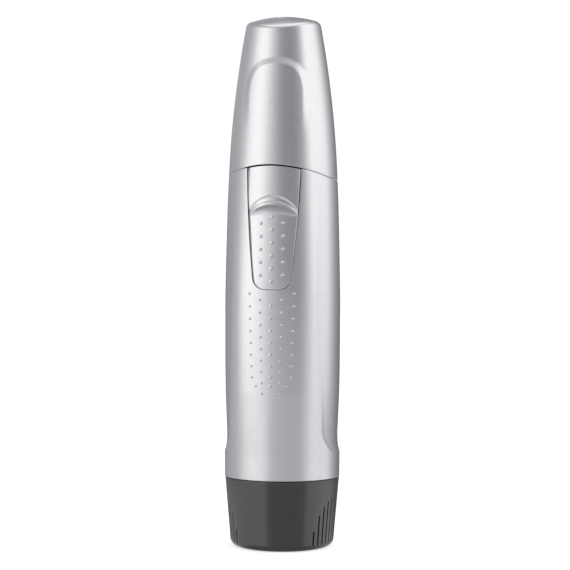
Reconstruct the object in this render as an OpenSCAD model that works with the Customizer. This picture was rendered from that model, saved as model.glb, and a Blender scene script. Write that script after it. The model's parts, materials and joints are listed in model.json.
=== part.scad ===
// Battery-powered nose hair trimmer: capped, free-standing on its battery cover.
// +Z runs up the body, the thumb switch faces -Y, and the origin is the centre
// of the flat base. Lengths are in millimetres and angles in degrees.

/* [Body] */
// Largest radius of the barrel-shaped body
body_r = 14.25; // [14:0.05:14.6]
// Height of the joint between the battery cover and the body
cover_h = 17; // [16.5:0.1:17.2]
// Height of the cap joint at its crown
joint_z = 92.7; // [92.4:0.1:93]
// Radius of the arch that the cap joint is cut to, seen from the front
joint_arch = 36; // [34:0.5:60]
// How far the arch's crown sits to the left of the centre line
joint_side = 1.1; // [0:0.1:1.2]
// Deepest part of the finger hollow in each side of the body
hollow_depth = 0.5; // [0.4:0.05:0.6]

/* [Cap] */
// Height of the top of the cap above the base
total_h = 130; // [129:0.5:132]
// Radius of curvature of the cap's domed top
dome_r = 28; // [26:1:32]
// Width of the rounding between the cap's side and its top
shoulder_r = 1.1; // [0.8:0.1:1.4]
// Number of vent holes in the cap's top
vents = 6; // [4:1:8]

/* [Switch] */
// How far the thumb switch slides up from off to on
switch_travel = 3.5; // [3:0.1:3.6]
// Width of the switch plate at its top
plate_w = 12.9; // [12.4:0.1:13]
// Height of the switch plate's lower edge above the base
plate_z = 62.9; // [62.5:0.1:64]

/* [Battery cover] */
// Number of grip grooves in each side of the battery cover
grooves = 14; // [8:2:14]
// Angle that the cover turns from locked to unlocked
cover_turn = 60; // [45:5:60]

/* [Cutting head] */
// Radius of the slotted outer cutter
cutter_r = 3.8; // [3.7:0.05:4]
// Number of slots in the outer cutter
cutter_slots = 12; // [8:2:12]
// Angle that the cutting head turns from locked to unlocked
head_turn = 30; // [25:1:30]

/* [Hidden] */
$fn = 96;

// Clearances
slide_gap = 0.12;  // between parts that slide or turn on each other
rest_gap = 0.05;   // between parts that are assembled together
joint_gap = 0.2;   // visible line at the cap joint and the cover joint
far = 40;          // reach of a cutting block, past everything

// The outer outline is three arcs that run into each other without a corner.
widest_z = 52;
knee_z = 92.4;
lower_arc = 2300;
body_arc = 868;
cap_arc = 261.5;
knee_angle = asin((knee_z - widest_z) / body_arc);
lower_c = [body_r - lower_arc, widest_z];
body_c = [body_r - body_arc, widest_z];
knee_r = body_c.x + body_arc * cos(knee_angle);
cap_c = [knee_r - cap_arc * cos(knee_angle), knee_z - cap_arc * sin(knee_angle)];
outline_step = 6;  // height of one step along an outline arc

function arc_r(z, c, r) = c.x + sqrt(r * r - (z - c.y) * (z - c.y));
function outer_r(z) =
    z > knee_z ? arc_r(z, cap_c, cap_arc)
    : z > widest_z ? arc_r(z, body_c, body_arc)
    : arc_r(z, lower_c, lower_arc);
function heights(z0, z1) =
    let (n = ceil((z1 - z0) / outline_step)) [for (i = [0:n]) z0 + (z1 - z0) * i / n];
function outline(z0, z1, inset = 0) = [for (z = heights(z0, z1)) [outer_r(z) - inset, z]];
function reversed(list) = [for (i = [len(list) - 1:-1:0]) list[i]];
function arc_points(c, r, a0, a1, n) =
    [for (i = [0:n]) let (a = a0 + (a1 - a0) * i / n) [c.x + r * cos(a), c.y + r * sin(a)]];

// Housing and battery cover
bore_r = 12.1;
cover_r0 = 12.57;
cover_taper = 0.0865;
cover_wall = 1.6;
cover_floor = 2;
base_round = 2;
spigot_r = 12.02;
spigot_top = 22.5;
lug_z = 20.6;
lug_h = 1.5;
lug_reach = 12.75;
lug_angle = 22;
groove_w = 0.5;
groove_depth = 0.45;
groove_pitch = 6.55;
groove_top = 13.6;
seal_z = 18.9;
seal_wire = 0.68;

// Switch stack, as radii from the centre line, outside in
pan_r = 10.15;
pocket_r = 10.95;
seal_out_r = 11.35;
plate_back_r = 11.4;
strip_inset = 0.72;
plate_taper = 0.062;
plate_top_z = 92.7;
plate_corner = 3;
pan_wall = 1.2;
carriage_r = 10;
carriage_y = -8.9;
stem_w = 3;
stem_z = [73.6, 77.6];
carriage_w = 6.4;
bridge_t = 0.25;
contact_y = -8.55;
contact_t = 0.3;

// Battery, chassis and motor
cell_r = 7.25;
cell_z = 6.5;
cell_h = 50.5;
nub_h = 1;
tube_r = [7.45, 8.6];
bulkhead_z = [57.6, 59.4];
flange_r = 11.9;
rail_r = 10.15;
chassis_top = 86.5;
motor_r = 10;
motor_flat = 7.5;
motor_wall = 0.6;
motor_z = [62.5, 84.5];
shaft_r = 1;
shaft_bore = 1.03;
screw_ring = 10.4;
screw_angles = [63, 117];
core_r = 6;
core_z = [68, 79];
poles = 3;

// Neck and cutting head
neck_z = [86.8, 98.4];
neck_plate = 2;
collar_r = 11.85;
socket_r = 9;
cap_bore = 11.95;
cap_wall = 1.3;
cap_lip = 0.45;
head_lug_z = [94.5, 96];
head_lug_angle = 14;
head_lug_reach = 9.8;
flange_z = 98.6;
cone_top = [4.6, 110.6];
cutter_top = 121.8;
tang = [3.4, 1.3];

// ---------- Shared shapes ----------

// Ring or, with a narrower angle, part of a ring, centred on azimuth 0
module ring(r_in, r_out, z0, z1, angle = 360, turn = 0) {
    rotate([0, 0, turn - angle / 2])
        rotate_extrude(angle = angle)
            translate([r_in, z0]) square([r_out - r_in, z1 - z0]);
}

module disc(r, z0, z1) {
    translate([0, 0, z0]) cylinder(r = r, h = z1 - z0);
}

module block(low, high) {
    translate(low) cube(high - low);
}

module o_ring(r, z, wire) {
    rotate_extrude() translate([r, z]) circle(r = wire);
}

// Everything above the cap joint's arch, moved up by lift
module above_joint(lift) {
    difference() {
        block([-far, -far, joint_z - 12], [far, far, total_h]);
        below_joint(lift);
    }
}

module below_joint(lift) {
    translate([-joint_side, far + 1, joint_z - joint_arch])
        rotate([90, 0, 0]) cylinder(r = joint_arch + lift, h = 2 * far + 2);
}

// Front outline of the switch plate in x and z, grown by g: tapered, with round lower corners
function plate_half(z) = plate_w / 2 - (plate_top_z - z) * plate_taper;
function plate_half_outline(g, top) =
    let (c = [plate_half(plate_z + plate_corner) - plate_corner, plate_z + plate_corner])
    concat(arc_points(c, plate_corner + g, -90, 0, 8), [[plate_half(top) + g, top]]);
function plate_outline(g, top) =
    let (right = plate_half_outline(g, top))
    concat(right, [for (p = reversed(right)) [-p.x, p.y]]);

// Extrudes an x-z outline from the front towards the centre line
module from_front(points) {
    rotate([90, 0, 0]) translate([0, 0, 1]) linear_extrude(far) polygon(points);
}

// Spring swept along a helix, from radius r0 at z0 to r1 at z1
module coil(r0, r1, z0, z1, turns, wire) {
    sides = 8;
    steps = round(turns * 20);
    lead = (z1 - z0 - 2 * wire) / steps;
    rings = [for (i = [0:steps])
        let (a = 360 * turns * i / steps, r = r0 + (r1 - r0) * i / steps, z = z0 + wire + lead * i)
        for (j = [0:sides - 1])
            let (b = 360 * j / sides)
            [(r + wire * cos(b)) * cos(a), (r + wire * cos(b)) * sin(a), z + wire * sin(b)]];
    tube = [for (i = [0:steps - 1]) for (j = [0:sides - 1])
        let (k = (j + 1) % sides)
        [i * sides + j, i * sides + k, (i + 1) * sides + k, (i + 1) * sides + j]];
    ends = [[for (j = [sides - 1:-1:0]) j], [for (j = [0:sides - 1]) steps * sides + j]];
    polyhedron(points = rings, faces = concat(tube, ends), convexity = 10);
}

// ---------- Outer shells ----------

module protective_cap() {
    side_top = total_h - 2.4;
    round_c = [outer_r(side_top) - shoulder_r, side_top];
    dome_c = [0, total_h - dome_r];
    dome_edge = asin((round_c.x + 0.35) / dome_r);
    dome_steps = 8;
    vent_ring = 4.2;
    vent_r = 0.7;
    skirt_top = neck_z[1] + 0.4;
    inner_top = side_top - 0.9;
    profile = concat(
        outline(joint_z - 5, side_top),
        arc_points(round_c, shoulder_r, 12, 68, 5),
        arc_points(dome_c, dome_r, 90 - dome_edge, 90, dome_steps),
        arc_points(dome_c, dome_r - cap_wall, 90, 90 - dome_edge + 5, dome_steps),
        reversed(outline(skirt_top, inner_top, cap_wall)),
        [[cap_bore, skirt_top], [cap_bore, joint_z - 5]]
    );
    color("silver")
    difference() {
        rotate_extrude() polygon(profile);
        below_joint(joint_gap / 2);
        // Room behind the front edge for the top of the switch plate
        intersection() {
            rotate_extrude() polygon(concat([[cap_bore - 1, joint_z - 6]],
                outline(joint_z - 6, skirt_top - 1, cap_lip), [[cap_bore - 1, skirt_top - 1]]));
            block([-plate_w / 2 - 0.4, -far, 0], [plate_w / 2 + 0.4, 0, total_h]);
        }
        for (i = [0:vents - 1])
            rotate([0, 0, 360 * i / vents - 90]) translate([vent_ring, 0, total_h - 4]) cylinder(r = vent_r, h = 5);
    }
}

// Tool that hollows the right side: a belt with a waist, centred beyond the axis so that
// its flatter curve cuts the body only around the middle of the side
module side_hollow() {
    flat = 3.1;
    deep_z = 27.5;
    low_z = 18;
    high_z = 52;
    low_arc = 25;
    high_arc = 420;
    spread = 120;
    deep_r = outer_r(deep_z) - hollow_depth + flat;
    translate([-flat, 0, 0]) rotate([0, 0, -spread / 2])
        rotate_extrude(angle = spread) difference() {
            translate([deep_r, low_z]) square([6, high_z - low_z]);
            difference() {
                translate([0, low_z - 1]) square([far, deep_z - low_z + 1]);
                translate([deep_r + low_arc, deep_z]) circle(r = low_arc, $fn = 256);
            }
            difference() {
                translate([0, deep_z]) square([far, high_z]);
                translate([deep_r + high_arc, deep_z]) circle(r = high_arc, $fn = 256 * 4);
            }
        }
}

// Raised grip studs below the switch: columns a fixed angle apart, rows that close up downwards
function stud_z(row) = 61.95 - 1.53 * row + 0.0075 * row * row;
function stud_columns(row) = row % 2 == 1 ? [-1, 1] : row == 0 ? [-2, 2] : [-2, 0, 2];
stud_rows = 17;
stud_pitch_angle = 10.9;

module studs() {
    for (row = [0:stud_rows - 1], column = stud_columns(row)) {
        stud_r = 0.42 - 0.006 * row;
        spread = row > 12 ? 1 - 0.03 * (row - 12) : 1;
        rotate([0, 0, column * stud_pitch_angle * spread])
            translate([0, -outer_r(stud_z(row)) + 0.5, stud_z(row)])
                rotate([90, 0, 0]) cylinder(r = stud_r, h = 0.5 + 0.18, $fn = 24);
    }
}

module housing() {
    edge = 0.3;
    bottom = cover_h + joint_gap;
    shell = concat([[outer_r(bottom) - edge, bottom]], outline(bottom + edge, 95),
        [[bore_r, 95], [bore_r, bottom]]);
    color("silver")
    difference() {
        union() {
            rotate_extrude() polygon(shell);
            intersection() {
                ring(pan_r, bore_r + 0.4, plate_z - 3, 95);
                from_front(plate_outline(pan_wall, 96));
            }
            studs();
        }
        above_joint(-joint_gap / 2);
        intersection() {
            ring(pocket_r, far / 2, plate_z - 2, 97);
            from_front(plate_outline(slide_gap, 98));
        }
        // Slot for the switch stem
        block([-stem_w / 2 - 0.15, -bore_r, stem_z[0] - 0.3],
            [stem_w / 2 + 0.15, -pan_r + 2, stem_z[1] + switch_travel + 0.3]);
        for (side = [0, 180]) rotate([0, 0, side]) side_hollow();
        cover_lug_slots();
    }
}

// L-shaped slots in the bore: the run holds the lug, and the entry lets it out at the unlocked end
module cover_lug_slots() {
    play = 1;
    for (side = [0, 180]) rotate([0, 0, side]) {
        ring(bore_r - 1, lug_reach + 0.1, lug_z - 0.1, lug_z + lug_h + 0.1,
            lug_angle + cover_turn + 2 * play, -cover_turn / 2);
        ring(bore_r - 1, lug_reach + 0.1, cover_h - 1, lug_z + 0.5, lug_angle + 2 * play, -cover_turn);
    }
}

function cover_r(z) = cover_r0 + cover_taper * z;

module battery_cover() {
    edge = 0.25;
    spigot_in = 9.9;
    inner_r = cover_r(cover_floor) - cover_wall;
    outside = concat(
        [[0, 0]],
        arc_points([cover_r(base_round) - base_round, base_round], base_round, -90, 0, 6),
        [[cover_r(cover_h - edge), cover_h - edge], [cover_r(cover_h) - edge, cover_h]],
        [[spigot_r, cover_h], [spigot_r, spigot_top - 0.4], [spigot_r - 0.4, spigot_top]],
        [[spigot_in, spigot_top], [spigot_in, 15], [inner_r, 13.5], [inner_r, cover_floor], [0, cover_floor]]
    );
    color("dimgray")
    difference() {
        union() {
            rotate([0, 0, 90]) rotate_extrude() polygon(outside);
            for (side = [0, 180])
                ring(spigot_r - 0.6, lug_reach, lug_z, lug_z + lug_h, lug_angle, side);
        }
        ring(bore_r - 2 * seal_wire - 0.1, bore_r + 1, seal_z - 0.75, seal_z + 0.75);
        for (side = [0, 180], i = [0:grooves - 1]) rotate([0, 0, side + groove_pitch * (i - (grooves - 1) / 2)])
            grip_groove(groove_pitch * (i - (grooves - 1) / 2));
    }
}

// One upright groove; the tops of a side's grooves follow an ellipse
module grip_groove(angle) {
    reach = groove_pitch * (grooves - 0.55) / 2;
    foot_z = 1;
    arch_foot = 1.8;
    top = arch_foot + (groove_top - arch_foot) * sqrt(1 - pow(angle / reach, 2));
    lean = atan(cover_taper);
    translate([cover_r(foot_z) - groove_depth, 0, foot_z])
        rotate([0, lean, 0])
            translate([0, -groove_w / 2, 0]) cube([2, groove_w, top - foot_z]);
}

// ---------- Battery compartment ----------

module cover_seal() {
    color("black") o_ring(bore_r - 0.04 - seal_wire, seal_z, seal_wire);
}

// Cup that carries the battery's negative side up to the strip, at any angle of the cover
module cover_contact() {
    floor_z = cover_floor + rest_gap;
    rotate_extrude() polygon([
        [0, floor_z], [9.4, floor_z], [9.4, spigot_top - 1], [9.1, spigot_top - 1],
        [9.1, floor_z + 0.3], [0, floor_z + 0.3]
    ]);
}

module battery_spring() {
    color("silver") coil(5.6, 3.2, cover_floor + 0.4, cell_z - rest_gap, 3.5, 0.35);
}

module battery_can() {
    color("lightgray") disc(cell_r - 0.25, cell_z, cell_z + cell_h - nub_h - 0.4);
}

module battery_label() {
    color("darkslategray") ring(cell_r - 0.22, cell_r, cell_z + 0.5, cell_z + cell_h - nub_h - 0.8);
}

module battery_gasket() {
    top = cell_z + cell_h - nub_h;
    color("dimgray") ring(5.05, cell_r - 0.4, top - 0.38, top - 0.05);
}

module battery_positive_cap() {
    top = cell_z + cell_h;
    color("silver") {
        disc(5, top - nub_h - 0.38, top - nub_h - 0.1);
        disc(2.75, top - nub_h - 0.2, top);
    }
}

// ---------- Chassis and contacts ----------

module chassis() {
    foot_z = [23.6, 25];
    boss_r = 1.45;
    color("dimgray")
    difference() {
        union() {
            ring(tube_r[0], tube_r[1], 18, bulkhead_z[0] + 0.5);
            ring(tube_r[0] + 0.2, flange_r, foot_z[0], foot_z[1]);
            disc(flange_r, bulkhead_z[0], bulkhead_z[1]);
            for (side = [0, 180]) ring(rail_r, flange_r, bulkhead_z[1] - 0.5, chassis_top, 44, side);
            difference() {
                ring(rail_r + 0.15, flange_r - 0.15, chassis_top - 1.6, chassis_top - 0.1);
                block([-far, -far, chassis_top - 2], [far, -3, chassis_top]);
            }
            screw_places() disc(boss_r, bulkhead_z[1] - 0.5, chassis_top);
        }
        // Flat and notch for the contact strips
        block([-3.2, -far, 17], [3.2, contact_y + contact_t + rest_gap, foot_z[0] - 0.3]);
        block([-3.2, -far, foot_z[0] - 0.4], [3.2, contact_y + contact_t + rest_gap, bulkhead_z[1] + 0.1]);
        disc(2.5, bulkhead_z[0] - 1, bulkhead_z[1] + 1);
        disc(3.5, bulkhead_z[0] - 1, bulkhead_z[0] + 0.1);
        screw_places() disc(0.75, 70, chassis_top + 1);
    }
}

module screw_places() {
    for (a = screw_angles) rotate([0, 0, a]) translate([screw_ring, 0, 0]) children();
}

// Rivet that meets the battery's positive end
module positive_contact() {
    face_z = cell_z + cell_h + rest_gap;
    color("gold") {
        disc(3.35, face_z, face_z + 0.45);
        disc(2.4, face_z + 0.2, bulkhead_z[1] + 0.05);
    }
}

lead_z = [59.5, 59.8];

module positive_lead() {
    color("gold") block([-1.2, -2.2, lead_z[0]], [1.2, 5.8, lead_z[1]]);
}

// Strip from the cover's cup, up behind the bridge to its contact above the off position
module negative_strip() {
    x = [-2.8, -0.9];
    front = [contact_y, contact_y + contact_t];
    back = [contact_y + 0.5, contact_y + 0.5 + contact_t];
    crank_z = 62;
    tip_z = [80.4, 84];
    color("gold") {
        block([x[0], front[0], 18.5], [x[1], front[1], crank_z]);
        block([x[0], front[0], crank_z - contact_t], [x[1], back[1], crank_z]);
        block([x[0], back[0], crank_z - contact_t], [x[1], back[1], tip_z[0]]);
        block([x[0], front[0], tip_z[0] - contact_t], [x[1], back[1], tip_z[0]]);
        block([x[0], front[0], tip_z[0] - contact_t], [x[1], front[1], tip_z[1]]);
        intersection() {
            disc(9.06, 19.5, 20.5);
            block([x[0], -9.2, 19], [x[1], front[0] + 0.1, 21]);
        }
    }
}

// Strip from the switch to the motor
module switch_lead() {
    x = [0.9, 2.8];
    end_y = -4.2;
    color("gold") {
        block([x[0], contact_y, lead_z[0]], [x[1], contact_y + contact_t, 82]);
        block([x[0], contact_y, lead_z[0]], [x[1], end_y, lead_z[1]]);
        block([-1, end_y - 1.6, lead_z[0]], [x[1], end_y, lead_z[1]]);
    }
}

// ---------- Switch ----------

module switch_plate() {
    ridge_z = [81.6, 85.8];
    crest_z = 83.4;
    proud = 0.3;
    pad_inset = [0.15, 0.5];
    strip = outline(ridge_z[1], plate_top_z + 2, strip_inset);
    pad = [for (z = heights(plate_z - 1, ridge_z[1] - 0.8))
        [outer_r(z) - pad_inset[0] - (pad_inset[1] - pad_inset[0]) * (z - plate_z) / (ridge_z[0] - plate_z), z]];
    color("silver") {
        difference() {
            intersection() {
                rotate_extrude() polygon(concat([[plate_back_r, plate_z - 1]], pad, strip,
                    [[plate_back_r, plate_top_z + 2]]));
                from_front(plate_outline(0, 97));
            }
            above_joint(-joint_gap / 2 - 0.1);
        }
        // Crescent ridge that the thumb pushes up
        intersection() {
            rotate_extrude() polygon([
                [plate_back_r + 0.2, ridge_z[0] - 1.2], [outer_r(ridge_z[0]) - pad_inset[1], ridge_z[0] - 1.2],
                [outer_r(crest_z) + proud, crest_z - 0.7], [outer_r(crest_z) + proud, crest_z],
                [outer_r(ridge_z[1]) - strip_inset, ridge_z[1] + 0.1], [plate_back_r + 0.2, ridge_z[1] + 0.1]
            ]);
            from_front(plate_outline(-0.02, 97));
            difference() {
                translate([0, 0, 78.6]) rotate([90, 0, 0]) cylinder(r = 7.2, h = far);
                translate([0, 1, 67]) rotate([90, 0, 0]) cylinder(r = 15.2, h = far + 2);
            }
        }
        block([-stem_w / 2, -plate_back_r - 0.2, stem_z[0]], [stem_w / 2, carriage_y + 0.02, stem_z[1]]);
        plate_studs();
    }
}

module plate_studs() {
    pitch = 3.1;
    first_z = 80.4;
    for (row = [0:10], column = row % 2 == 0 ? [0] : [-1, 1]) {
        z = first_z - pitch / 2 * row;
        stud_r = row == 0 ? 0.3 : 0.42;
        rotate([0, 0, column * stud_pitch_angle])
            translate([0, -outer_r(z) + 0.9, z]) rotate([90, 0, 0]) cylinder(r = stud_r, h = 0.72, $fn = 24);
    }
}

// Wiper that keeps the stem's slot covered at both ends of the travel
module switch_seal() {
    half_w = 2.6;
    color("black")
    difference() {
        intersection() {
            ring(pocket_r + rest_gap, seal_out_r, 69.2, 81.4);
            block([-half_w, -far, 0], [half_w, 0, total_h]);
        }
        block([-stem_w / 2 - rest_gap, -far, stem_z[0] - rest_gap], [stem_w / 2 + rest_gap, 0, stem_z[1] + rest_gap]);
    }
}

module switch_carriage() {
    z = [70.6, 80.2];
    color("dimgray")
    difference() {
        intersection() {
            disc(carriage_r, z[0], z[1]);
            block([-carriage_w / 2, -far, z[0]], [carriage_w / 2, carriage_y, z[1]]);
        }
        block([-stem_w / 2 - rest_gap, -far, stem_z[0] - rest_gap], [stem_w / 2 + rest_gap, 0, stem_z[1] + rest_gap]);
    }
}

// Leaf that joins the two strips when the switch is up
module switch_bridge() {
    y = [carriage_y + rest_gap, carriage_y + rest_gap + bridge_t];
    color("gold") {
        block([-3, y[0], 71], [3, y[1], 73.2]);
        for (x = [-3, 0.9]) block([x, y[0], 73], [x + 2.1, y[1], 79.7]);
    }
}

// ---------- Motor ----------

module flatted(r, flat, z0, z1) {
    intersection() {
        disc(r, z0, z1);
        block([-r - 1, -flat, z0 - 1], [r + 1, flat, z1 + 1]);
    }
}

module motor_can() {
    boss_r = 3.2;
    color("silver")
    difference() {
        union() {
            flatted(motor_r, motor_flat, motor_z[0], motor_z[1]);
            disc(boss_r, motor_z[1] - 0.3, motor_z[1] + 1.9);
        }
        flatted(motor_r - motor_wall, motor_flat - motor_wall, motor_z[0] - 1, motor_z[1] - motor_wall);
        disc(2.6 + rest_gap, motor_z[1] - 1, motor_z[1] + 1.4);
        disc(1.6, motor_z[1] - 1, motor_z[1] + 3);
    }
}

module motor_magnets() {
    color("dimgray")
    for (side = [0, 180]) ring(core_r + 0.5, motor_r - motor_wall - 0.1, 66, 82, 68, side);
}

module motor_end_cap() {
    z = [60.2, 62.4];
    color("ivory")
    difference() {
        union() {
            flatted(motor_r, motor_flat, z[0], z[1]);
            flatted(motor_r - motor_wall - 0.1, motor_flat - motor_wall - 0.1, z[1] - 0.2, 64);
        }
        flatted(motor_r - 1.8, motor_flat - 1.8, z[1] - 0.4, 65);
        disc(2.4 + rest_gap, z[0] + 0.4, z[1] + 1);
        disc(1.3, z[0] - 1, z[1]);
        for (y = [-5, 5]) block([-0.95, y - 0.35, z[0] - 1], [0.95, y + 0.35, 65]);
    }
}

module motor_terminals() {
    color("gold")
    for (y = [-5, 5]) block([-0.85, y - 0.25, lead_z[1] + 0.05], [0.85, y + 0.25, 62.5]);
}

module motor_brushes() {
    color("darkgoldenrod")
    for (side = [0, 180]) rotate([0, 0, side]) {
        block([-0.8, 2.5, 62.55], [0.8, 5.25, 62.8]);
        block([-0.8, 2.5, 62.55], [0.8, 2.7, 66]);
        block([-0.8, 2.26, 64.2], [0.8, 2.55, 65.8]);
    }
}

module motor_bushes() {
    color("darkgoldenrod") {
        ring(shaft_bore, 2.4, 60.65, 62.35);
        ring(shaft_bore, 2.6, motor_z[1] - 0.95, motor_z[1] + 1.35);
    }
}

// Rubber washer between the motor's face and the neck
module motor_damper() {
    color("black") ring(3.25, 6.8, motor_z[1] + rest_gap, neck_z[0] - rest_gap);
}

module motor_shaft() {
    color("silver") disc(shaft_r, 60.75, 91);
}

module rotor_core() {
    shoe_in = 5;
    color("gray")
    difference() {
        union() {
            disc(2.6, core_z[0], core_z[1]);
            for (i = [0:poles - 1]) {
                rotate([0, 0, 360 * i / poles]) {
                    block([2, -1.1, core_z[0]], [shoe_in + 0.3, 1.1, core_z[1]]);
                    ring(shoe_in, core_r, core_z[0], core_z[1], 100);
                }
            }
        }
        rotate([0, 0, 90]) disc(shaft_r + 0.01, core_z[0] - 1, core_z[1] + 1);
    }
}

module rotor_windings() {
    reach = [2.75, 4.3];
    color("chocolate")
    for (i = [0:poles - 1]) rotate([0, 0, 360 * i / poles])
        difference() {
            block([reach[0], -2.4, core_z[0] - 1.1], [reach[1], 2.4, core_z[1] + 1.1]);
            block([0, -1.15, core_z[0] - rest_gap], [6, 1.15, core_z[1] + rest_gap]);
        }
}

module commutator() {
    z = [63.2, 66.4];
    segment = 112;
    color("darkgoldenrod") {
        ring(shaft_r + 0.01, 1.7, z[0], z[1] + 0.4);
        for (i = [0:poles - 1]) ring(1.6, 2.2, z[0] + 0.3, z[1], segment, 360 * i / poles);
    }
}

// ---------- Drive and neck ----------

module drive_coupling() {
    hub_z = [87.1, 92];
    color("ivory") {
        difference() {
            disc(2, hub_z[0], hub_z[1]);
            disc(shaft_r + 0.01, hub_z[0] - 1, 91.1);
        }
        block([-tang.x / 2, -tang.y / 2, hub_z[1] - 0.3], [tang.x / 2, tang.y / 2, 96]);
    }
}

module shaft_seal() {
    color("black")
    rotate_extrude() polygon([
        [2.03, 87.4], [2.5, 87], [4.15, 87], [4.15, 88.7], [3.2, 88.7], [3.2, 87.9], [2.03, 87.8]
    ]);
}

module neck_collar() {
    play = 1;
    color("dimgray")
    difference() {
        rotate_extrude() polygon([
            [4.2, neck_z[0]], [collar_r, neck_z[0]], [collar_r, neck_z[1] - 0.4], [collar_r - 0.4, neck_z[1]],
            [socket_r, neck_z[1]], [socket_r, neck_z[0] + neck_plate], [4.2, neck_z[0] + neck_plate]
        ]);
        // Room at the front for the switch pocket and the plate's travel
        intersection() {
            ring(pan_r - 0.15, far / 2, neck_z[0] - 1, neck_z[1] + 1);
            block([-plate_w / 2 - pan_wall - 0.25, -far, 0], [plate_w / 2 + pan_wall + 0.25, 0, total_h]);
        }
        for (side = [0, 180]) rotate([0, 0, side]) {
            ring(socket_r - 1, head_lug_reach + 0.1, head_lug_z[0] - 0.1, head_lug_z[1] + 0.1,
                head_lug_angle + head_turn + 2 * play, head_turn / 2);
            ring(socket_r - 0.9, head_lug_reach + 0.1, head_lug_z[1] - 0.5, neck_z[1] + 1,
                head_lug_angle + 1.5 * play, head_turn);
        }
        screw_places() {
            disc(0.9, neck_z[0] - 1, neck_z[1] + 1);
            disc(1.3, neck_z[1] - 2.2, neck_z[1] + 1);
        }
    }
}

module neck_screws() {
    head_z = [neck_z[1] - 2.15, neck_z[1] - 1.1];
    color("silver")
    screw_places() difference() {
        union() {
            disc(0.7, 73, head_z[0] + 0.2);
            disc(1.2, head_z[0], head_z[1]);
        }
        for (a = [0, 90]) rotate([0, 0, a]) block([-0.8, -0.15, head_z[1] - 0.5], [0.8, 0.15, head_z[1] + 1]);
    }
}

// ---------- Cutting head ----------

module head_base() {
    skirt = [7.6, socket_r - 0.08];
    skirt_z = 91;
    cavity_top = 103.5;
    flange_r = 11.4;
    cone_arc = 20;
    cone = arc_points([cone_top.x + 19.6, cone_top.y + 4], cone_arc, 191.5, 229.5, 8);
    color("dimgray")
    difference() {
        union() {
            rotate_extrude() polygon(concat(
                [[skirt[1], skirt_z + 0.3], [skirt[1], flange_z], [flange_r, flange_z], [flange_r, flange_z + 0.5]],
                reversed(cone),
                [[cone_top.x - 0.4, cone_top.y], [1.66, cone_top.y], [1.66, cavity_top], [5.4, cavity_top - 2],
                 [5.4, flange_z], [skirt[0], flange_z - 1], [skirt[0], skirt_z], [skirt[1] - 0.3, skirt_z]]));
            for (side = [0, 180])
                ring(skirt[1] - 0.4, head_lug_reach, head_lug_z[0], head_lug_z[1], head_lug_angle, side);
        }
        ring(8.03, 10, 96.7, 97.7);
        // Seat of the outer cutter
        disc(cutter_r + 0.55, cone_top.y - 1, cone_top.y + 1);
    }
}

module head_seal() {
    color("black") o_ring(8.5, 97.2, 0.42);
}

module head_retainer() {
    color("dimgray") ring(3.2, 7.55, 91.5, 93);
}

module outer_cutter() {
    wall = 0.4;
    base_z = cone_top.y - 0.95;
    slot_z = 117.2;
    slot_w = 0.45;
    round = 1.1;
    hub = 1.3;
    color("silver")
    difference() {
        rotate_extrude() polygon(concat(
            [[cutter_r - wall, base_z], [cutter_r + 0.5, base_z], [cutter_r + 0.5, base_z + 0.5],
             [cutter_r, base_z + 0.9]],
            arc_points([cutter_r - round, cutter_top - round], round, 0, 90, 6),
            [[0, cutter_top]],
            [[0, cutter_top - wall]],
            arc_points([cutter_r - round, cutter_top - round], round - wall, 90, 0, 6)));
        for (i = [0:cutter_slots - 1]) rotate([0, 0, 360 * (i + 0.5) / cutter_slots])
            block([hub, -slot_w / 2, slot_z], [cutter_r + 1, slot_w / 2, cutter_top + 1]);
    }
}

module cutter_spindle() {
    play = 0.1;
    color("ivory")
    difference() {
        union() {
            disc(3, 92.3, 97.7);
            disc(4.6, 97.5, 98.5);
            disc(1.6, 98.3, 112);
        }
        block([-tang.x / 2 - play, -tang.y / 2 - play, 91], [tang.x / 2 + play, tang.y / 2 + play, 96.3]);
        block([-2, -0.33, 109.4], [2, 0.33, 113]);
    }
}

module inner_blade() {
    half_w = cutter_r - 0.4 - 0.1;
    top = cutter_top - 0.4 - 0.08;
    corner = 0.8;
    blade = concat(
        [[-1.3, 109.5], [1.3, 109.5], [1.3, 112.2], [half_w, 113]],
        arc_points([half_w - corner, top - corner], corner, 0, 90, 4),
        arc_points([corner - half_w, top - corner], corner, 90, 180, 4),
        [[-half_w, 113], [-1.3, 112.2]]);
    color("lightgray")
    rotate([90, 0, 0]) translate([0, 0, -0.3]) linear_extrude(0.6) polygon(blade);
}

module cutter_spring() {
    color("silver") coil(4.05, 4.05, 93.05, 97.45, 3.5, 0.28);
}

protective_cap();
housing();
battery_cover();
cover_seal();
color("gold") cover_contact();
battery_spring();
battery_can();
battery_label();
battery_gasket();
battery_positive_cap();
chassis();
positive_contact();
positive_lead();
negative_strip();
switch_lead();
switch_plate();
switch_seal();
switch_carriage();
switch_bridge();
motor_can();
motor_magnets();
motor_end_cap();
motor_terminals();
motor_brushes();
motor_bushes();
motor_damper();
motor_shaft();
rotor_core();
rotor_windings();
commutator();
drive_coupling();
shaft_seal();
neck_collar();
neck_screws();
head_base();
head_seal();
head_retainer();
outer_cutter();
cutter_spindle();
inner_blade();
cutter_spring();
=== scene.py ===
import json
import math

import bpy
import numpy as np
from mathutils import Matrix, Vector
from mathutils.geometry import delaunay_2d_cdt


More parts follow.
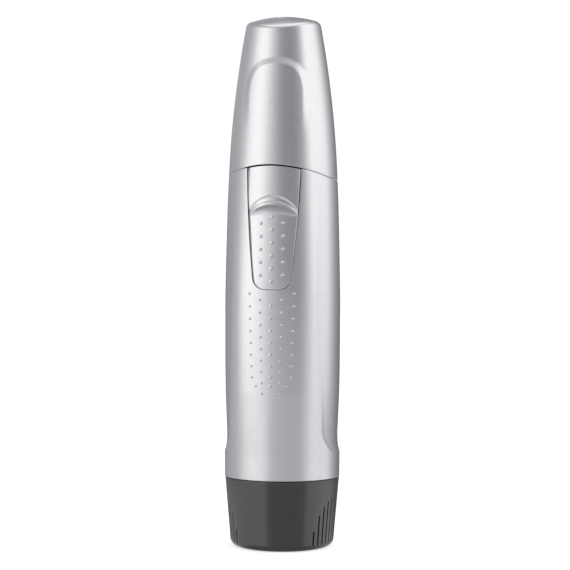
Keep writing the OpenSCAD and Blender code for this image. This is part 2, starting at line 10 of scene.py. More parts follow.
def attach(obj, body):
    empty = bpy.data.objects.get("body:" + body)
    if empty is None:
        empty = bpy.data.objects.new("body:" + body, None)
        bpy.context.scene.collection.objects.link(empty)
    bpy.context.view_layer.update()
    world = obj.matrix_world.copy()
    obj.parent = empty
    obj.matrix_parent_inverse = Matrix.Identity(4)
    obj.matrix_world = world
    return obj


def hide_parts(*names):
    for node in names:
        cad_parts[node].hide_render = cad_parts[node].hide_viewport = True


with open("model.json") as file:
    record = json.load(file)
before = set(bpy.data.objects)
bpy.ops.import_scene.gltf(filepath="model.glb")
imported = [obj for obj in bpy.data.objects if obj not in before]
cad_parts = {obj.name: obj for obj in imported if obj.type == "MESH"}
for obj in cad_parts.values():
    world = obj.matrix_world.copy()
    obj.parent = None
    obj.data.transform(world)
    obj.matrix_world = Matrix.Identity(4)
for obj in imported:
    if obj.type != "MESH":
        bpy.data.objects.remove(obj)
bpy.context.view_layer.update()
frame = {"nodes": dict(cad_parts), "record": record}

# Lengths are in millimetres until a mesh is made. Azimuth 0 is the front (-Y) and grows towards +X.
MM = 0.001
FRONT_VIEW = 11.4  # degrees between the front and the camera

# ---------- The body's outline, which follows the CAD ----------

BODY_R, WIDEST_Z, KNEE_Z = 14.25, 52.0, 92.4
LOWER_ARC, BODY_ARC, CAP_ARC = 4200.0, 868.0, 261.5
COVER_H, COVER_R0, COVER_TAPER, COVER_SEAM = 17.1, 12.57, 0.0865, 0.1
BORE_R = 12.1
# Cap joint: height of its crown, radius of its arch, how far left the crown lies, half the gap
JOINT_Z, JOINT_ARCH, JOINT_SIDE, HALF_GAP = 92.7, 36.0, 1.1, 0.1
TOTAL_H, DOME_R, SHOULDER_R, CAP_WALL = 130.0, 28.0, 1.6, 1.3
# Radii behind the switch: the pan round its slot, the pocket's floor, the plate's back
PAN_R, POCKET_R, PLATE_BACK_R = 10.15, 10.95, 11.4
PLATE_W, PLATE_Z, PLATE_TOP, PLATE_CORNER = 12.96, 62.9, 92.7, 3.0
SLIDE_GAP = (0.09, 0.21, 0.1)  # round the plate: left, right, more at the right side's top
FILLET = 0.08  # radius of the shells' edges

_knee = math.asin((KNEE_Z - WIDEST_Z) / BODY_ARC)
_knee_r = BODY_R - BODY_ARC + BODY_ARC * math.cos(_knee)
_cap_c = (_knee_r - CAP_ARC * math.cos(_knee), KNEE_Z - CAP_ARC * math.sin(_knee))


def arc_r(z, cx, cz, r):
    """Radius of the outline at a height, on an arc of radius r about (cx, cz)."""
    return cx + math.sqrt(r * r - (z - cz) ** 2)


def outer_r(z):
    if z > KNEE_Z:
        return arc_r(z, _cap_c[0], _cap_c[1], CAP_ARC)
    if z > WIDEST_Z:
        return arc_r(z, BODY_R - BODY_ARC, WIDEST_Z, BODY_ARC)
    return arc_r(z, BODY_R - LOWER_ARC, WIDEST_Z, LOWER_ARC)


def cover_r(z):
    """Radius of the battery cover's side."""
    return COVER_R0 + COVER_TAPER * z


def step(x, a, b):
    """0 at a, 1 at b, smooth between."""
    t = min(max((x - a) / (b - a), 0.0), 1.0)
    return t * t * (3 - 2 * t)


def lerp_points(x, points):
    """Straight lines through (x, y) points."""
    if x <= points[0][0]:
        return points[0][1]
    for (x0, y0), (x1, y1) in zip(points, points[1:]):
        if x <= x1:
            return y0 + (y1 - y0) * (x - x0) / (x1 - x0)
    return points[-1][1]


# ---------- Mesh building ----------

SHARP_ANGLE = 38


class Shell:
    """Collects patches of one closed surface and welds them into an object."""

    def __init__(self, weld=2e-4):
        self.points, self.faces, self.keys, self.weld = [], [], {}, weld

    def vert(self, p):
        key = tuple(int(round(c / self.weld)) for c in p)
        if key not in self.keys:
            self.keys[key] = len(self.points)
            self.points.append(tuple(p))
        return self.keys[key]

    def face(self, corners, flip=False):
        ids = []
        for c in corners:
            i = self.vert(c)
            if i not in ids:
                ids.append(i)
        if len(ids) > 2:
            self.faces.append(tuple(reversed(ids)) if flip else tuple(ids))

    def grid(self, rows, closed=False, flip=False, skip=None):
        """Quads between rows of points. skip(row, column) leaves a quad out."""
        n = len(rows[0])
        for j in range(len(rows) - 1):
            for i in range(n if closed else n - 1):
                if skip and skip(j, i):
                    continue
                k = (i + 1) % n
                self.face((rows[j][i], rows[j][k], rows[j + 1][k], rows[j + 1][i]), flip)

    def patch(self, loops, inside, place, flip=False):
        """Triangles between flat loops (the first one outside, the rest holes), with extra inner points."""
        flat, edges = [], []
        for loop in loops:
            start = len(flat)
            flat += loop
            edges += [(start + i, start + (i + 1) % len(loop)) for i in range(len(loop))]
        flat += inside
        out, _, tris, source, _, _ = delaunay_2d_cdt([Vector(p) for p in flat], edges, [], 0, 1e-5)
        xy = np.array([(v.x, v.y) for v in out])
        tris = np.array([t for t in tris if len(t) == 3])
        middle = xy[tris].mean(axis=1)
        keep = in_loop(middle, loops[0])
        for hole in loops[1:]:
            keep &= ~in_loop(middle, hole)
        spots = [flat[source[i][0]] if source[i] else tuple(xy[i]) for i in range(len(out))]
        solid = [place(*p) for p in spots]
        for t in tris[keep]:
            a, b, c = (xy[i] for i in t)
            if (b[0] - a[0]) * (c[1] - a[1]) < (b[1] - a[1]) * (c[0] - a[0]):
                t = t[::-1]
            self.face([solid[i] for i in t], flip)

    def bar(self, sections):
        """A closed bar through four-cornered sections."""
        for a, b in zip(sections, sections[1:]):
            for i in range(4):
                k = (i + 1) % 4
                self.face((a[i], b[i], b[k], a[k]))
        self.face(sections[0])
        self.face(sections[-1], True)

    def make(self, name):
        """The object, smooth but for its sharp edges."""
        mesh = bpy.data.meshes.new(name)
        mesh.from_pydata([tuple(c * MM for c in p) for p in self.points], [], self.faces)
        mesh.validate()
        obj = bpy.data.objects.new(name, mesh)
        bpy.context.scene.collection.objects.link(obj)
        mesh.shade_smooth()
        mesh.set_sharp_from_angle(angle=math.radians(SHARP_ANGLE))
        return obj


def in_loop(points, loop):
    """Which of the points (an array) lie inside a closed loop."""
    inside = np.zeros(len(points), bool)
    x, y = points[:, 0], points[:, 1]
    for (x0, y0), (x1, y1) in zip(loop, loop[1:] + loop[:1]):
        if y0 != y1:
            inside ^= ((y0 > y) != (y1 > y)) & (x < (x1 - x0) * (y - y0) / (y1 - y0) + x0)
    return inside


def spread(a, b, size):
    """Evenly spaced numbers from a to b, about size apart."""
    n = max(1, int(math.ceil(abs(b - a) / size)))
    return [a + (b - a) * i / n for i in range(n + 1)]


def fill(loops, size, clear, refine=()):
    """Staggered points inside flat loops, kept clear of the loops and of finer spots (x, y, radius)."""
    xs, ys = [p[0] for p in loops[0]], [p[1] for p in loops[0]]
    field = []
    for j, y in enumerate(spread(min(ys), max(ys), size * 0.87)):
        shift = size / 2 if j % 2 else 0.0
        field += [(x + shift, y) for x in spread(min(xs), max(xs), size)]
    field = np.array(field)
    keep = in_loop(field, loops[0])
    for hole in loops[1:]:
        keep &= ~in_loop(field, hole)
    field = field[keep]
    for loop in loops:
        rim = np.array(loop)
        near = np.array([np.hypot(*(rim - p).T).min() for p in field])
        field = field[near > clear]
    for x, y, r in refine:
        field = field[np.hypot(field[:, 0] - x, field[:, 1] - y) > r]
    return [tuple(p) for p in field]


def polar(r, az, z):
    return (r * math.sin(az), -r * math.cos(az), z)


def wrap(az):
    return (az + math.pi) % (2 * math.pi) - math.pi


def front_y(x, r):
    return -math.sqrt(r * r - x * x)


def on_front(r):
    """Places flat points (x, z) on the front of an upright cylinder."""
    return lambda x, z: (x, front_y(x, r), z)


def flat_xy(points):
    return [(p[0], p[1]) for p in points]


def rectangle(half, low, high, size_x, size_z):
    """Loop of flat points (x, z), from the lower left corner."""
    loop = [(x, low) for x in spread(-half, half, size_x)]
    loop += [(half, z) for z in spread(low, high, size_z)[1:]]
    loop += [(x, high) for x in spread(half, -half, size_x)[1:]]
    return loop + [(-half, z) for z in spread(high, low, size_z)[1:-1]]


def fillet(a, size=FILLET):
    """Where an edge's rounding is at an angle: how far from the wall, how far below the surface."""
    return size * (1 - math.sin(a)), size * (1 - math.cos(a))


FILLET_STEPS = [math.radians(a) for a in (0, 30, 60, 90)]


def joint_at(x, lift):
    """Height of the cap joint's arch at an x; lift moves it off the joint's middle."""
    return JOINT_Z - JOINT_ARCH + math.sqrt((JOINT_ARCH + lift) ** 2 - (x + JOINT_SIDE) ** 2)


def joint_height(az, lift):
    """Height where the cap joint meets the outline at an azimuth."""
    z = JOINT_Z
    for _ in range(4):
        z = joint_at(outer_r(z) * math.sin(az), lift)
    return z


# ---------- Studs ----------

STUD_R, STUD_H, STUD_FOOT = 0.35, 0.13, 0.02
FOOT_SPREAD = 1.15  # how far a stud's foot reaches, in stud radii
STUD_PITCH, PLATE_PITCH = math.radians(10.9), math.radians(11.4)
STUD_ROWS, PLATE_ROWS = 18, 11


def housing_studs():
    """Studs below the switch: (azimuth, height, radius). The field narrows downwards, most in its last rows."""
    out = []
    for row in range(STUD_ROWS):
        z = 61.95 - 1.53 * row + 0.0075 * row * row
        columns = (-1, 1) if row % 2 else ((-2, 2) if row == 0 else (-2, 0, 2))
        squeeze = 1 - 0.0095 * row
        if row > STUD_ROWS - 4:
            squeeze -= 0.05
        if row == STUD_ROWS - 2:
            squeeze, z = squeeze - 0.12, z + 0.5
        out += [(c * STUD_PITCH * squeeze, z, STUD_R - 0.003 * row) for c in columns]
    return out


def plate_studs():
    """Studs on the switch plate, as above."""
    out = []
    for row in range(PLATE_ROWS):
        columns = (-1, 1) if row % 2 else (0,)
        out += [(c * PLATE_PITCH, 80.3 - 1.555 * row, 0.44 if row else 0.36) for c in columns]
    return out


def stud_height(distance, r):
    """Low rounded dome with a tight fillet where it meets the surface."""
    dome = STUD_H * (r / STUD_R) * max(0.0, 1 - (distance / r) ** 2)
    return dome + STUD_FOOT * max(0.0, 1 - distance / (r * FOOT_SPREAD))


def studs_lift(studs, u, z):
    """How far the studs (u, z, radius) of a flat sheet stand up at one of its points."""
    return max([stud_height(math.hypot(u - su, z - sz), r) for su, sz, r in studs if abs(sz - z) < 2 * STUD_R],
               default=0.0)


def stud_rings(studs):
    """Points that draw the studs (u, z, radius) of a flat sheet."""
    points = []
    for u, z, r in studs:
        points.append((u, z))
        for share, count in ((0.3, 8), (0.6, 12), (0.82, 14), (1.0, 16), (FOOT_SPREAD, 16)):
            for k in range(count):
                a = 2 * math.pi * (k + 0.5 * (count == 14)) / count
                points.append((u + share * r * math.cos(a), z + share * r * math.sin(a)))
    return points


def stud_spots(studs, clear):
    """The studs of a flat sheet as (u, z, radius to keep other points out of)."""
    return [(u, z, r * FOOT_SPREAD + clear) for u, z, r in studs]


# ---------- Switch outline ----------

PLATE_TAPER, PLATE_CURVE = 0.0205, 0.00176
OUTLINE_SIZE = 0.35  # distance between the outline's points


def plate_half(z):
    """Half the plate's width; its sides curve in towards the bottom."""
    down = PLATE_TOP - z
    return PLATE_W / 2 - down * (PLATE_TAPER + PLATE_CURVE * down)


def plate_lean(z):
    """Angle of the plate's side from upright."""
    return math.atan(PLATE_TAPER + 2 * PLATE_CURVE * (PLATE_TOP - z))


def plate_outline(gap, level):
    """(x, z, nx, nz) down the right side, round the lower corners and up the left side.
    gap is (left, right, more at the right side's top). The two ends are the corners under the cap joint."""
    c_z = PLATE_Z + PLATE_CORNER
    turn = plate_lean(c_z)
    foot_z = c_z - PLATE_CORNER * math.sin(turn)
    c_x = plate_half(foot_z) - PLATE_CORNER * math.cos(turn)
    sides = []
    for hand in (1, -1):
        grow, wide = (gap[1], gap[2]) if hand > 0 else (gap[0], 0.0)
        top = JOINT_Z
        for _ in range(4):
            top = joint_at(hand * (plate_half(top) + grow + wide), level)
        side = []
        for z in spread(top, foot_z, OUTLINE_SIZE):
            x, tilt = plate_half(z) + grow + wide * step(z, 76, 90), plate_lean(z)
            side.append((hand * x, z, hand * math.cos(tilt), -math.sin(tilt)))
        side[0] = (side[0][0], side[0][1], hand, 1.0)
        r, steps = PLATE_CORNER + grow, 12
        for i in range(1, steps + 1):
            a = -turn - (math.pi / 2 - turn) * i / steps
            nx, nz = math.cos(a), math.sin(a)
            side.append((hand * (c_x + r * nx), c_z + r * nz, hand * nx, nz))
        sides.append(side)
    low = PLATE_Z - (gap[0] + gap[1]) / 2
    bottom = [(x, low, 0.0, -1.0) for x in spread(c_x, -c_x, OUTLINE_SIZE)[1:-1]]
    return sides[0] + bottom + list(reversed(sides[1]))


# ---------- Housing ----------

# Finger hollow in each side: (height, depth on its middle line), (height, degrees from the middle to its edge),
# and how much fuller the body is in front than at the hollows
HOLLOW_DEPTH = [(22.8, 0.0), (24.3, 0.3), (25.8, 0.52), (27.2, 0.6), (28.7, 0.62), (30.2, 0.56), (31.7, 0.54),
                (34, 0.5), (38, 0.42), (44, 0.34), (50, 0.31), (64, 0.26), (74, 0.15), (84, 0.0)]
HOLLOW_SPAN = [(28.5, 38.0), (36.4, 40.2), (48.4, 42.6), (60.5, 43.6), (77, 44), (84, 44)]
HOLLOW_ROUND_Z, HOLLOW_ROUND = 29.2, 6.4  # where its lower end starts to round, and how far down it goes
FULLER = [(23, 0.0), (30, 0.16), (38, 0.3), (62, 0.3), (84, 0.0)]


def side_r(az, z):
    """Radius of the body: a little fuller than the plain outline, less the hollow, whose edge is a crease."""
    phi = abs(abs(math.degrees(wrap(az))) - 90)
    depth = lerp_points(z, HOLLOW_DEPTH)
    half = lerp_points(z, HOLLOW_SPAN)
    if z < HOLLOW_ROUND_Z:
        half *= math.sqrt(max(0.0, 1 - ((HOLLOW_ROUND_Z - z) / HOLLOW_ROUND) ** 2))
    cut = 0.0
    if depth > 0 and phi < half:
        cut = depth * (1 - (phi / half) ** 4) + 0.25 * min(depth, 0.3) * step(phi / half, 1.0, 0.84)
    return outer_r(z) + lerp_points(z, FULLER) - cut


def housing_point(az, z, lift=0.0):
    return polar(side_r(az, z) + lift, az, z)


SLOT_X, SLOT_Z = 1.65, (73.3, 81.4)  # slot for the switch's stem: half its width, its ends


def build_housing():
    """The body: sides with hollows, studded front, pocket for the switch, bore and joint."""
    shell = Shell()
    level = -HALF_GAP
    seam = math.radians(36)  # azimuth where the front patch meets the sides
    patch_z, slant_z = 36.0, 60.0  # lower end of the patch, and where the rows start to follow the joint
    bottom, edge_w, edge_h = COVER_H + COVER_SEAM, 0.12, 0.14
    sheet = 14.2  # azimuth times this is the flat sheet's x

    def column(az, n=96):
        """Heights up one column from slant_z to just under the joint."""
        top = joint_height(az, level) - FILLET
        return [slant_z + (top - slant_z) * i / n for i in range(n + 1)]

    lower_rows = spread(bottom + edge_h, 30, 0.24) + spread(30, patch_z, 0.33)[1:]
    middle_rows = spread(patch_z, slant_z, 0.36)
    back = [seam + (2 * math.pi - 2 * seam) * i / 250 for i in range(251)]
    front = [-seam + 2 * seam * i / 48 for i in range(49)]

    # Sides and back
    rows = [[housing_point(az, z) for az in back] for z in lower_rows + middle_rows[1:]]
    columns = [column(az) for az in back]
    rows += [[housing_point(az, columns[i][j]) for i, az in enumerate(back)] for j in range(1, len(columns[0]))]
    shell.grid(rows)
    # Front, below the studs
    shell.grid([[housing_point(az, z) for az in front] for z in lower_rows])
    # Lower edge, rounded
    ring = front + back[1:-1]
    edge_rows = []
    for k in range(7):
        a = math.radians(90 * k / 6)
        r, z = outer_r(bottom + edge_h) - edge_w * (1 - math.sin(a)), bottom + edge_h * (1 - math.cos(a))
        edge_rows.append([polar(r, az, z) for az in ring])
    shell.grid(edge_rows, closed=True)

    # Rim of the front opening: outline of the switch pocket, then the joint round the back
    outline = plate_outline(SLIDE_GAP, level)
    last = len(outline) - 1
    notch = []  # per outline point, the fillet's points from the surface to the wall
    for i, (x, z, nx, nz) in enumerate(outline):
        strip = []
        for a in FILLET_STEPS:
            out, deep = fillet(a)
            px, pz = x + nx * out, z + (-1.0 if i in (0, last) else nz) * out
            strip.append((px, front_y(px, outer_r(pz) + lerp_points(pz, FULLER)) + deep, pz))
        notch.append(strip)
    first_az = math.atan2(notch[0][0][0], -notch[0][0][1])
    rim_az = [first_az + (seam - first_az) * i / 10 for i in range(1, 10)] + back
    rim_az += [-seam + (seam - first_az) * i / 10 for i in range(1, 10)]
    rim = []
    for az in rim_az:
        top = joint_height(az, level)
        strip = [housing_point(az, top - FILLET)]
        for a in FILLET_STEPS[1:]:
            out, deep = fillet(a)
            r = side_r(az, top) - deep
            strip.append(polar(r, az, joint_at(r * math.sin(az), level) - out))
        rim.append(strip)
    loop = rim + list(reversed(notch))
    shell.grid([[s[k] for s in loop] for k in range(len(FILLET_STEPS))], closed=True)

    # Front patch with the studs
    def flat(p):
        return (math.atan2(p[0], -p[1]) * sheet, p[2])

    side_heights, left_heights = middle_rows + column(seam)[1:], middle_rows + column(-seam)[1:]
    boundary = [(az * sheet, patch_z) for az in front]
    boundary += [(seam * sheet, z) for z in side_heights[1:]]
    boundary += [flat(s[0]) for s in reversed(rim[:9])]
    boundary += [flat(s[0]) for s in notch]
    boundary += [flat(s[0]) for s in reversed(rim[-9:])]
    boundary += [(-seam * sheet, z) for z in reversed(left_heights[1:])]
    studs = [(az * sheet, z, r) for az, z, r in housing_studs()]
    inside = fill([boundary], 0.42, 0.2, stud_spots(studs, 0.16)) + stud_rings(studs)
    shell.patch([boundary], inside, lambda u, z: housing_point(u / sheet, z, studs_lift(studs, u, z)))

    # Pocket walls and floor, with the slot for the switch's stem
    floor_loop = [(x, front_y(x, POCKET_R), joint_at(x, level) if i in (0, last) else z)
                  for i, (x, z, _, _) in enumerate(outline)]
    shell.grid([[s[-1] for s in reversed(notch)], list(reversed(floor_loop))])
    slot_edge = rectangle(SLOT_X, *SLOT_Z, 0.6, 0.6)
    top_arc = [(x, front_y(x, POCKET_R), joint_at(x, level))
               for x in spread(floor_loop[-1][0], floor_loop[0][0], 0.7)[1:-1]]
    floor_rim = [(x, z) for x, _, z in floor_loop[::-1] + top_arc[::-1]]
    shell.patch([floor_rim, slot_edge], fill([floor_rim, slot_edge], 0.8, 0.4), on_front(POCKET_R))
    shell.grid([[on_front(r)(x, z) for x, z in slot_edge] for r in (POCKET_R, PAN_R)], closed=True)

    # Inner surface: the bore, stepping in behind the pocket
    pan_low, pan_half, pan_step = 60.5, math.radians(46), math.radians(0.4)
    pan_az = [math.asin(x / PAN_R) for x in spread(-SLOT_X, SLOT_X, 0.6)]
    sides = spread(pan_az[-1], pan_half, math.radians(3))[1:]
    rest = spread(pan_half + pan_step, 2 * math.pi - (pan_half + pan_step), math.radians(3))
    inner_az = [-a for a in reversed(sides)] + pan_az + sides + rest
    z_rows = [bottom, 19, 21, 23, 30, 40, 50, pan_low - 0.02, pan_low] + spread(pan_low, SLOT_Z[0], 3)[1:]
    z_rows += spread(*SLOT_Z, 0.6)[1:] + [84.0, 87.0]

    def inner_point(az, z):
        in_pan = abs(wrap(az)) <= pan_half + 1e-6 and z >= pan_low
        return polar(PAN_R if in_pan else BORE_R, az, z)

    inner_rows = [[inner_point(az, z) for az in inner_az] for z in z_rows]
    inner_rows.append([(p[0], p[1], joint_at(p[0], level)) for p in inner_rows[-1]])

    def in_slot(j, i):
        a, b = inner_rows[j][i], inner_rows[j + 1][(i + 1) % len(inner_az)]
        x, z = (a[0] + b[0]) / 2, (a[2] + b[2]) / 2
        return abs(x) < SLOT_X and a[1] < 0 and SLOT_Z[0] < z < SLOT_Z[1]

    shell.grid(inner_rows, closed=True, flip=True, skip=in_slot)
    # Lower face and joint face
    shell.patch([flat_xy(edge_rows[0]), flat_xy(inner_rows[0])], [], lambda x, y: (x, y, bottom), flip=True)
    pocket_edge = [floor_loop[-1]] + top_arc + [floor_loop[0]]
    outer_loop = flat_xy([s[-1] for s in [notch[0]] + rim + [notch[-1]]] + pocket_edge)
    shell.patch([outer_loop, flat_xy(inner_rows[-1])], [], lambda x, y: (x, y, joint_at(x, level)))
    # Tongue that closes the joint from behind; it comes nearer the surface at the sides of the camera's view
    root_r, low, high = BORE_R + 0.05, -0.5, 0.07
    sections = []
    for az in spread(seam, 2 * math.pi - seam, math.radians(2)):
        side = abs(math.sin(az - math.radians(FRONT_VIEW)))
        tip_r = outer_r(joint_height(az, level)) - 0.5 + 0.3 * step(side, 0.93, 0.985)
        corners = ((root_r, low), (tip_r, low), (tip_r, high), (root_r, high))
        sections.append([polar(r, az, joint_at(r * math.sin(az), lift)) for r, lift in corners])
    shell.bar(sections)
    return shell.make("body_shell")


# ---------- Switch plate ----------

STRIP_INSET, STRIP_SLOPE, STRIP_END = 0.62, 0.037, 85.3  # depth at the top, how it lessens, down to where
PAD_INSET = (0.12, 0.45)  # depth at the plate's lower end and from 80 mm up
CREST = 0.34  # how far the ridge's middle stands out
STEM_X, STEM_Z, STEM_Y = 1.5, (73.6, 77.6), -8.92


def plate_inset(x, z):
    """Depth of the plate's face below the outline: strip on top, crescent ridge, then the studded pad."""
    share = min(abs(x) / plate_half(z), 1.0)
    high, low = 85.9 - 3.6 * share ** 2, 80.7 - 0.9 * share ** 2
    pad = PAD_INSET[0] + (PAD_INSET[1] - PAD_INSET[0]) * step(z, PLATE_Z, 80)
    strip = STRIP_INSET - STRIP_SLOPE * (PLATE_TOP - max(z, STRIP_END))
    if z >= high:
        return strip
    if z <= low:
        return pad
    v = (high - z) / (high - low)
    crest = -CREST + (pad + CREST) * share ** 3
    rise = 0.56 * step(v, 0.0, 0.25) + 0.44 * step(v, 0.27, 0.5)
    fall = 1 - (1 - max(0.0, v - 0.53) / 0.47) ** 2.2
    return strip + (crest - strip) * rise + (pad - crest) * fall


def build_plate():
    """The thumb switch: its face with ridge and studs, and the stem behind it."""
    shell = Shell()
    level = -HALF_GAP - 0.04

    def face_r(x, z):
        return outer_r(z) - plate_inset(x, z)

    outline = plate_outline((0.0, 0.0, 0.0), level)
    top = spread(outline[-1][0], outline[0][0], OUTLINE_SIZE)[1:-1]
    loops = []
    for x, z, nx, nz in outline + [(x, joint_at(x, level), 0.0, 1.0) for x in top]:
        strip = []
        for a in FILLET_STEPS:
            out, deep = fillet(a)
            px, pz = x - nx * out, z - nz * out
            strip.append((px, front_y(px, face_r(px, pz)) + deep, pz))
        loops.append(strip + [(x, front_y(x, PLATE_BACK_R), z)])
    shell.grid([[s[k] for s in loops] for k in range(len(loops[0]))], closed=True)

    # Face: finer points at the ridge
    rim = [(s[0][0], s[0][2]) for s in loops]
    studs = [(math.sin(az) * outer_r(z), z, r) for az, z, r in plate_studs()]
    spots = stud_spots(studs, 0.14)
    inside = [p for p in fill([rim], 0.2, 0.12, spots) if 79.5 < p[1] < 87.2]
    inside += [p for p in fill([rim], 0.42, 0.2, spots) if not 79.4 < p[1] < 87.3]
    shell.patch([rim], inside + stud_rings(studs),
                lambda x, z: (x, front_y(x, face_r(x, z) + studs_lift(studs, x, z)), z))
    # Back, and the stem that goes through the slot
    hole = rectangle(STEM_X, *STEM_Z, 0.75, 0.8)
    back = [(s[-1][0], s[-1][2]) for s in loops]
    shell.patch([back, hole], fill([back, hole], 0.9, 0.4), on_front(PLATE_BACK_R), flip=True)
    stem_end = [(x, STEM_Y, z) for x, z in hole]
    shell.grid([[on_front(PLATE_BACK_R)(x, z) for x, z in hole], stem_end], closed=True, flip=True)
    shell.patch([hole], [], lambda x, z: (x, STEM_Y, z), flip=True)
    return shell.make("thumb_switch")


# ---------- Protective cap ----------

# Arched front panel: half its width, top, where its sides end, and its turn from the front
ARCH_W, ARCH_TOP, ARCH_FOOT, ARCH_TURN = 6.9, 117.1, 109.0, math.radians(1.4)
ARCH_POWER = 2.5
PANEL_LIFT, PANEL_SLOPE, PANEL_SOFT = 0.31, 2.0, 0.35  # height, width of its slope, softness of its foot
DOME_Z, SIDE_TOP, TOP_LEAN = TOTAL_H - DOME_R, TOTAL_H - 2.75, 1.75
VENTS, VENT_RING, VENT_R, VENT_EDGE, VENT_ZONE = 6, 4.2, 0.7, 0.16, 5.9
SKIRT_TOP, SKIRT_R, CAP_LIP = 98.8, 11.95, 0.26


def arch_distance(s, z):
    """Distance outside the arched front panel's edge, negative inside."""
    s = abs(s)
    if z <= ARCH_FOOT:
        return s - ARCH_W
    u, v = s / ARCH_W, (z - ARCH_FOOT) / (ARCH_TOP - ARCH_FOOT)
    q = (u ** ARCH_POWER + v ** ARCH_POWER) ** (1 / ARCH_POWER)
    if q < 1e-6:
        return -ARCH_W
    return math.hypot(s, z - ARCH_FOOT) * (1 - 1 / q)


def panel_lift(az, z):
    """How far the arched front panel stands proud; it fades out towards the joint."""
    if abs(az) > math.pi / 2 or z < 97:
        return 0.0
    t = arch_distance((az - ARCH_TURN) * outer_r(z), z)
    u = min(max(1 - t / PANEL_SLOPE, 0.0), 1.0)
    slope = u * u / (2 * PANEL_SOFT) if u < PANEL_SOFT else u - PANEL_SOFT / 2
    return PANEL_LIFT * step(z, 99, 113) * slope / (1 - PANEL_SOFT / 2)


def cap_top(az):
    """Where the cap's side ends, the shoulder's centre radius and last angle, the radius there, and the dome's
    drop at its edge. The top leans down towards the front."""
    z = SIDE_TOP - TOP_LEAN * max(0.0, math.cos(az)) ** 2
    centre = outer_r(z) - SHOULDER_R
    following = math.radians(71)
    for _ in range(6):
        end = following
        r = centre + SHOULDER_R * math.cos(end)
        dome_h = math.sqrt(DOME_R ** 2 - r * r)
        drop = DOME_Z + dome_h - z - SHOULDER_R * math.sin(end)
        following = math.pi / 2 - math.atan(r / dome_h + 2 * drop / r)
    return z, centre, end, r, drop


def dome(x, y, radius=DOME_R):
    """Point of the cap's domed top, or with a smaller radius of its inside."""
    _, _, _, reach, drop = cap_top(math.atan2(x, -y))
    r = math.hypot(x, y)
    return (x, y, DOME_Z + math.sqrt(radius ** 2 - r * r) - drop * (r / reach) ** 2)


def inner_dome(x, y):
    return dome(x, y, DOME_R - CAP_WALL)


def circle(cx, cy, r, count=28):
    return [(cx + r * math.cos(2 * math.pi * k / count), cy + r * math.sin(2 * math.pi * k / count))
            for k in range(count)]


